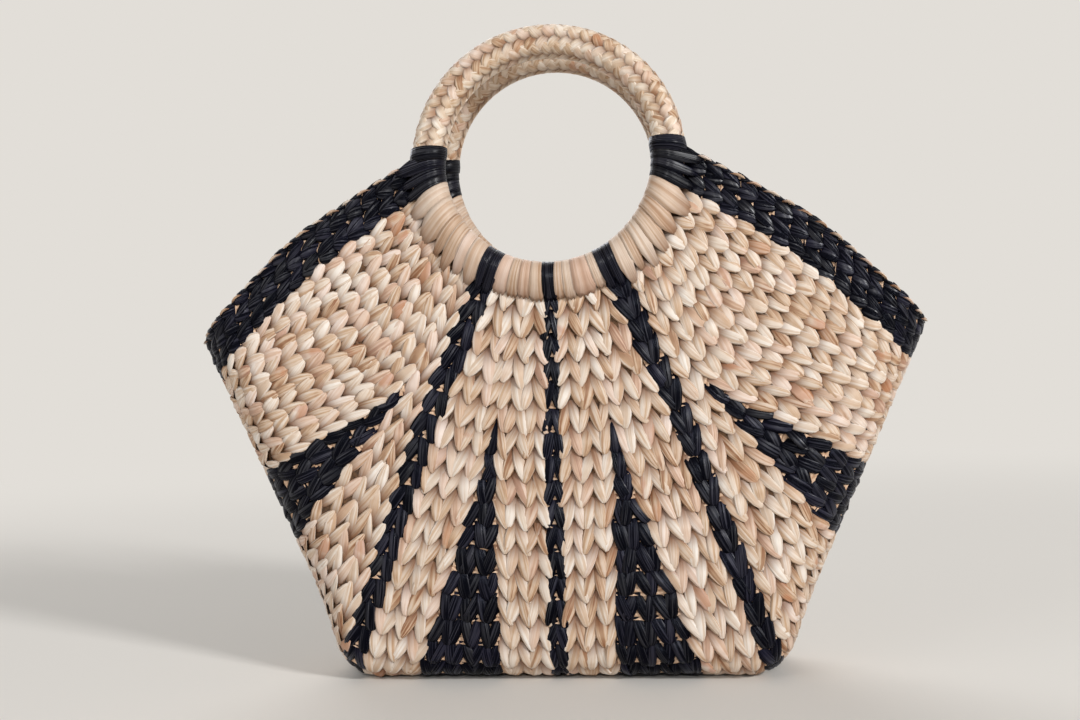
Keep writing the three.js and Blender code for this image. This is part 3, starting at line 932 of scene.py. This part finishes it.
def make_underweave(name, wall, material):
    """Closed sheet in the middle of the wall, under the stitches."""
    bpy.ops.mesh.primitive_grid_add(x_subdivisions=SHEET_COLUMNS, y_subdivisions=SHEET_ROWS, size=1)
    sheet = bpy.context.object
    sheet.name = name
    mesh = sheet.data
    share, down, _ = read(mesh.vertices, "co", 3).reshape(-1, 3).T + 0.5
    points, outward = wall.at(share, lerp(wall.start, at_share(wall.lengths, share), down))
    mesh.vertices.foreach_set("co", (points - outward * UNDERWEAVE_INSET).ravel())
    mesh.update()
    thicken(sheet, UNDERWEAVE_THICKNESS, offset=-1)
    mesh.uv_layers[0].name = "strip"
    for attribute in ("tone", "tint"):
        mesh.attributes.new(attribute, "FLOAT", "POINT")
    mesh.materials.append(material)
    return sheet


BEND_START = 0.012  # below the fold line, on the wall


def bend_with_flap(piece, face):
    side = SIDES[face]
    start = Vector((0, side * float(half_depth(FOLD_HEIGHT)), FOLD_HEIGHT - BEND_START))
    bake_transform(piece)


# Stitches along the free edge of a rim. Their first place and their length are measured by the row pitch
RimRow = collections.namedtuple("RimRow", "first length width rise")
RIM_EDGE = RimRow(first=0.5, length=1.25, width=0.0062, rise=0)
RIM_TIPS = RimRow(first=1.0, length=1.0, width=0.0082, rise=0.0010)
RIM_REACH = 0.1  # share of the rim that shows which way its edge faces


def rim_stitches(stitch, wall, chance, row):
    """Corners of stitches along the free edge of a rim, standing out from it."""
    column, inwards = (-1, -1) if wall.inner_first else (0, 1)
    free = WALL_SHARES[column]
    pitch = wall.pitches[column]
    first_row = wall.first_rows[column]
    count = round((wall.lengths[column] - first_row) / pitch - row.first)
    middles = first_row + (np.arange(count) + row.first) * pitch
    stretch = pitch * row.length * chance.uniform(*UNEVEN_SIZE, count)
    distance = middles[:, None] + stitch.from_middle * stretch[:, None]
    edge_points, outward = wall.at(np.full_like(distance, free), distance)
    inner_points = wall.at(np.full_like(distance, free + RIM_REACH * inwards), distance)[0]
    away = unit(edge_points - inner_points)
    across = stitch.points[:, 0] * row.width * chance.uniform(*UNEVEN_SIZE, count)[:, None] * inwards
    lift = stitch.points[:, 1] * STITCH_THICKNESS - STITCH_INSET / 2 + row.rise
    return edge_points + outward * (across - WALL / 2)[..., None] + away * lift[..., None]


def make_bundle(face, name, wall, weave, nodes, seed):
    chance = np.random.default_rng(seed)
    stitch, strip = weave.stitch, weave.strip
    places = stitch_places(wall, weave, name.endswith(TIPS_IN), chance)
    parts = [make_underweave(name, wall, weave.underweave)]
    facing = -1 if wall.inner_first and name.endswith(TURNED_ROUND) else 1
    for inside in (False, True):
        points = lay_stitches(stitch, wall, places, chance, inside, facing)
        parts.append(make_copies(name + "_stitches", stitch, points, chance, strip))
    if name.endswith("_rim"):
        points = rim_stitches(stitch, wall, chance, RIM_EDGE)
        parts.append(make_copies(name + "_edge", stitch, points, chance, strip))
        points = rim_stitches(stitch, wall, chance, RIM_TIPS)
        tips = make_copies(name + "_tips", stitch, points, chance, straw)
        bend_with_flap(tips, face)
    piece = join(parts)
    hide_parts(*nodes)
    bend_with_flap(piece, face)


def weft_runs(wall, row, shift):
    """Lines of weft cord along one row of a wall, broken where the row has run into the seam."""
    middle = wall.first_rows.mean() + row * wall.pitches.mean() + shift
    if middle < wall.start:
        return []
    shares = np.linspace(0, 1, 2 + int(float(wall.spread(0.5, middle)) / WEFT_STEP))
    distances = at_share(wall.first_rows + row * wall.pitches, shares) + shift
    points, outward = wall.at(shares, distances)
    points = points - outward * WEFT_INSET
    runs = [[]]
    for point, kept in zip(points, distances < at_share(wall.lengths, shares) - WEFT_RADIUS):
        if kept:
            runs[-1].append(point)
        elif runs[-1]:
            runs.append([])
    return [run for run in runs if len(run) > 1]


def make_wefts(face, walls):
    """The cords that the stitches are twined over, in pairs along the rows of the black walls."""
    name = f"{face}_weft_cords"
    curve = bpy.data.curves.new(name, "CURVE")
    curve.dimensions = "3D"
    curve.bevel_depth = WEFT_RADIUS
    curve.bevel_resolution = 1
    curve.use_fill_caps = True
    for wall in walls:
        rows = int((wall.lengths / wall.pitches).max()) + 1
        for row, shift in itertools.product(range(1, rows), (-WEFT_SPREAD, WEFT_SPREAD)):
            for run in weft_runs(wall, row, shift):
                spline = curve.splines.new("POLY")
                spline.points.add(len(run) - 1)
                for corner, point in zip(spline.points, run):
                    corner.co = (*point, 1)
    select_only(add_object(name, curve))
    bpy.ops.object.convert(target="MESH")
    cords = bpy.context.object
    cords.data.materials.append(weft_straw)
    bend_with_flap(cords, face)


def make_fan(face):
    side = SIDES[face]
    seed = FAN_SEEDS[face]
    black_walls = [Wall(EDGES["centre"].mirrored(), EDGES["centre"], side, 1)]
    nodes = [f"{face}_wall_centre_stripe", f"{face}_flap_centre_stripe"]
    make_bundle(face, f"{face}_centre_stripe", black_walls[0], WEAVES["full_black"], nodes, seed)
    for word, hand in HANDS.items():
        for bundle, (inner, outer, kind) in BUNDLES.items():
            seed += 1
            edges = [EDGES[inner], EDGES[outer]]
            if hand < 0:
                edges = [line.mirrored() for line in edges]
            wall = Wall(*edges, side, hand)
            nodes = [f"{face}_wall_{word}_{bundle}"] if bundle != "rim" else []
            if bundle in FLAP_NODES:
                nodes.append(f"{face}_flap_{word}_{FLAP_NODES[bundle]}")
            if bundle == "rim" and face == "front":
                nodes.append(f"{word}_rim_corner")
            make_bundle(face, f"{face}_{word}_{bundle}", wall, WEAVES[kind], nodes, seed)
            if WEAVES[kind].strip is black_strip:
                black_walls.append(wall)
    make_wefts(face, black_walls)


# The rings

LOOP_CROWN = 0.008
LOOP_TILT = 0.035  # each strip's edge lies on the next strip
LOOP_OVERLAP = 1.12
TAIL_FROM = 0.006
RING_WRAPS = (
    # from, to, how many strips, the strip, its colour
    (-CENTRE_TURN, CENTRE_TURN, 1, short_loop, "black"),
    (CENTRE_TURN, STRIPE_TURN, 4, short_loop, "natural"),
    (STRIPE_TURN, STRIPE_END_TURN, 2, long_loop, "black"),
    (STRIPE_END_TURN, RIM_TURN, 6, long_loop, "natural"),
    (RIM_TURN, RIM_END_TURN, 3, long_loop, "black"),
)
BINDING_FROM = 90.5
BINDING_TO = 97
BINDING_SWELL = 1.06
BINDING_SLANT = 0.2
SLANT_FADE = (66, BINDING_TO)  # degrees: the bindings lie squarer on the ring than the loops
PLAIT_COLUMNS = 10
PLAIT_START = math.radians(96)
PLAIT_PITCH = 0.0066
SCALE_LENGTH = 0.0132
SCALE_WIDTH = 0.0072
PLAIT_THICKNESS = 0.0015
PLAIT_INSET = 0.6  # of its thickness
PLAIT_LEAN = math.radians(50)


def stake_slant(turn):
    """How far the stakes at a turn of the ring run off the ring's radius, as a tangent."""
    size = abs(turn)
    turns = [line.turn for line in EDGES.values()]
    bend = [np.interp(size, turns, [line.bend[axis] for line in EDGES.values()]) for axis in (0, 1)]
    heading = bend - ring_point(size, STAKE_START)
    along = heading @ (math.sin(size), -math.cos(size))
    aside = heading @ (math.cos(size), math.sin(size))
    kept = lerp(1, BINDING_SLANT, smoothstep(size, *np.radians(SLANT_FADE)))
    return math.copysign(1, turn) * kept * aside / along


def loop_points(ring, chance, pattern, centre, width, swell):
    """Corners of one strip round the cane at a turn of the ring, slanting with the stakes."""
    share = pattern.points[:, 0] / np.ptp(pattern.points[:, 0])
    out = pattern.points[:, 1]
    below = -pattern.points[:, 2]
    below = below + np.maximum(0, below - TAIL_FROM) * chance.uniform(-UNEVEN_TAIL, UNEVEN_TAIL)
    swell = swell + chance.uniform(-UNEVEN_SWELL, UNEVEN_SWELL)
    size = swell + share * LOOP_TILT - LOOP_CROWN * (2 * share) ** 2
    slant = stake_slant(centre) * below / (RING_RADIUS + below)
    turn = centre + ring.side * share * width * LOOP_OVERLAP + slant
    return ring.at(turn, below * size, out * size)


def make_wraps(face, ring, chance):
    found = {"black": [], "natural": []}
    for start, end, count, strip, colour in RING_WRAPS:
        for hand in (1,) if start < 0 else (1, -1):
            parts = np.cumsum(np.concatenate([[0], chance.uniform(*UNEVEN_LOOPS, count)]))
            cuts = np.radians(lerp(start, end, parts / parts[-1]))
            for low, high in zip(cuts[:-1], cuts[1:]):
                points = loop_points(ring, chance, strip, hand * (low + high) / 2, high - low, 1)
                found[colour].append(points)
    for colour, finish in (("black", black_strip), ("natural", looped_straw)):
        points = np.array(found[colour])
        piece = make_copies(f"{face}_{colour}_loops", long_loop, points, chance, finish)
        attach(piece, f"{face}_flap")


def make_bindings(face, ring, chance):
    low = math.radians(BINDING_FROM)
    high = math.radians(BINDING_TO)
    found = []
    for hand in (1, -1):
        centre = hand * (low + high) / 2
        found.append(loop_points(ring, chance, binding_turn, centre, high - low, BINDING_SWELL))
    piece = make_copies(f"{face}_bindings", binding_turn, np.array(found), chance, black_strip)
    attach(piece, f"{face}_flap")


def make_plait(face, ring, chance):
    span = 2 * (math.pi - PLAIT_START)
    rows = int(span * RING_RADIUS / PLAIT_PITCH)
    step = span / rows
    found = []
    for column in range(PLAIT_COLUMNS):
        around = 2 * math.pi * column / PLAIT_COLUMNS
        lean = PLAIT_LEAN if column % 2 == 0 else -PLAIT_LEAN
        for row in range(rows + 1 - column % 2):
            turn = PLAIT_START + (row + 0.5 * (column % 2)) * step
            found.append(plait_scale(ring, chance, turn, around, lean))
    scales = make_copies(f"{face}_plait", pointed_stitch, np.array(found), chance, plaited_straw)
    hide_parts(f"{face}_plaited_grip")
    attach(scales, f"{face}_flap")


def plait_scale(ring, chance, turn, around, lean):
    lean = lean + chance.normal(0, UNEVEN_PLAIT_LEAN)
    across = pointed_stitch.points[:, 0] * SCALE_WIDTH * chance.uniform(*UNEVEN_SCALE)
    along = pointed_stitch.from_middle * SCALE_LENGTH * chance.uniform(*UNEVEN_SCALE)
    height = PLAITED_RADIUS + (pointed_stitch.points[:, 1] - PLAIT_INSET) * PLAIT_THICKNESS
    turned = across * np.cos(lean) + along * np.sin(lean)
    forward = along * np.cos(lean) - across * np.sin(lean)
    angle = around + ring.side * turned / PLAITED_RADIUS
    beyond = height * np.cos(angle)
    return ring.at(turn + forward / (RING_RADIUS + beyond), beyond, height * np.sin(angle))


def make_ring(face):
    ring = Ring(SIDES[face])
    chance = np.random.default_rng(RING_SEEDS[face])
    make_wraps(face, ring, chance)
    make_bindings(face, ring, chance)
    make_plait(face, ring, chance)
    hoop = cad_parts[f"{face}_cane_hoop"]
    hoop.data.materials.clear()
    hoop.data.materials.append(cane)


for face in SIDES:
    make_fan(face)
    make_ring(face)


# Floor, light and camera

FLOOR_COLOUR = shade(226, 222, 216)
FLOOR_SIZE = 8
FLOOR_FADE = (0.5, 1.6)
FLOOR_ROUGHNESS = 0.9
BACKGROUND_RAYS = ("Is Camera Ray", "Is Glossy Ray", "Is Transmission Ray")
FLOOR_DROP = 0.0008
WORLD_LIGHT = 0.25
LIGHT_AIM = Vector((0, 0, 0.17))
LIGHTS = (
    # name, place, size, power
    ("key", (2.32, -1.84, 1.55), 0.5, 70),
    ("front", (0.32, -2.88, 1.2), 0.32, 20),
    ("fill", (-1.92, -1.76, 1.4), 1.9, 10),
    ("back", (-0.96, 2.4, 2.0), 2.4, 52),
)
CAMERA_PLACE = Vector((0.0672, -0.6963, 0.1701))
CAMERA_YAW = math.radians(6.29)
CAMERA_PITCH = math.radians(0.08)
CAMERA_ROLL = math.radians(-1.7)
CAMERA_LENS = 41.6
CAMERA_NEAR = 0.01


def make_floor():
    bpy.ops.mesh.primitive_plane_add(size=FLOOR_SIZE, location=(0, 0, -FLOOR_DROP))
    floor = bpy.context.object
    floor.name = "floor"
    floor.data.materials.append(floor_finish())


def background_rays(nodes):
    """1 for the rays that show the background, and 0 for those that carry light."""
    path = nodes.node("ShaderNodeLightPath", {}).socket.node
    return sum(Value(nodes, path.outputs[ray]) for ray in BACKGROUND_RAYS)


def floor_finish():
    """Pale floor that keeps the shadow near the bag and runs into the background further off."""
    finish = Finish("floor")
    finish.set(base_color=FLOOR_COLOUR, roughness=FLOOR_ROUGHNESS, specular_IOR_level=0)
    away = finish.node("ShaderNodeVectorMath", {0: finish.place()}, output="Value", operation="LENGTH")
    glow = finish.node("ShaderNodeEmission", {"Color": FLOOR_COLOUR})
    lit = Value(finish, finish.shader.outputs[0])
    share = finish.steps(away, *FLOOR_FADE) * background_rays(finish)
    mixed = finish.node("ShaderNodeMixShader", {0: share, 1: lit, 2: glow})
    finish.feed(finish.tree.nodes["Material Output"].inputs["Surface"], mixed)
    return finish.material


def make_world():
    world = bpy.data.worlds.new("studio")
    bpy.context.scene.world = world
    world.use_nodes = True
    nodes = Nodes(world.node_tree)
    studio = nodes.tree.nodes["Background"]
    studio.inputs["Color"].default_value = (1, 1, 1, 1)
    studio.inputs["Strength"].default_value = WORLD_LIGHT
    lit = Value(nodes, studio.outputs[0])
    backdrop = nodes.node("ShaderNodeBackground", {"Color": FLOOR_COLOUR})
    mixed = nodes.node("ShaderNodeMixShader", {0: background_rays(nodes), 1: lit, 2: backdrop})
    nodes.feed(nodes.tree.nodes["World Output"].inputs["Surface"], mixed)


def add_light(name, place, size, power):
    data = bpy.data.lights.new(name, "AREA")
    data.size = size
    data.energy = power
    light = add_object(name, data)
    light.location = place
    light.rotation_euler = (LIGHT_AIM - Vector(place)).to_track_quat("-Z", "Y").to_euler()


def make_camera():
    data = bpy.data.cameras.new("camera")
    data.lens = CAMERA_LENS
    data.clip_start = CAMERA_NEAR
    camera = add_object("camera", data)
    facing = Matrix.Rotation(CAMERA_YAW, 4, "Z") @ Matrix.Rotation(math.pi / 2 + CAMERA_PITCH, 4, "X")
    rolled = facing @ Matrix.Rotation(CAMERA_ROLL, 4, "Z")
    camera.matrix_world = Matrix.Translation(CAMERA_PLACE) @ rolled
    bpy.context.scene.camera = camera


make_floor()
make_world()
for light in LIGHTS:
    add_light(*light)
make_camera()
bpy.context.scene.view_settings.view_transform = "Standard"
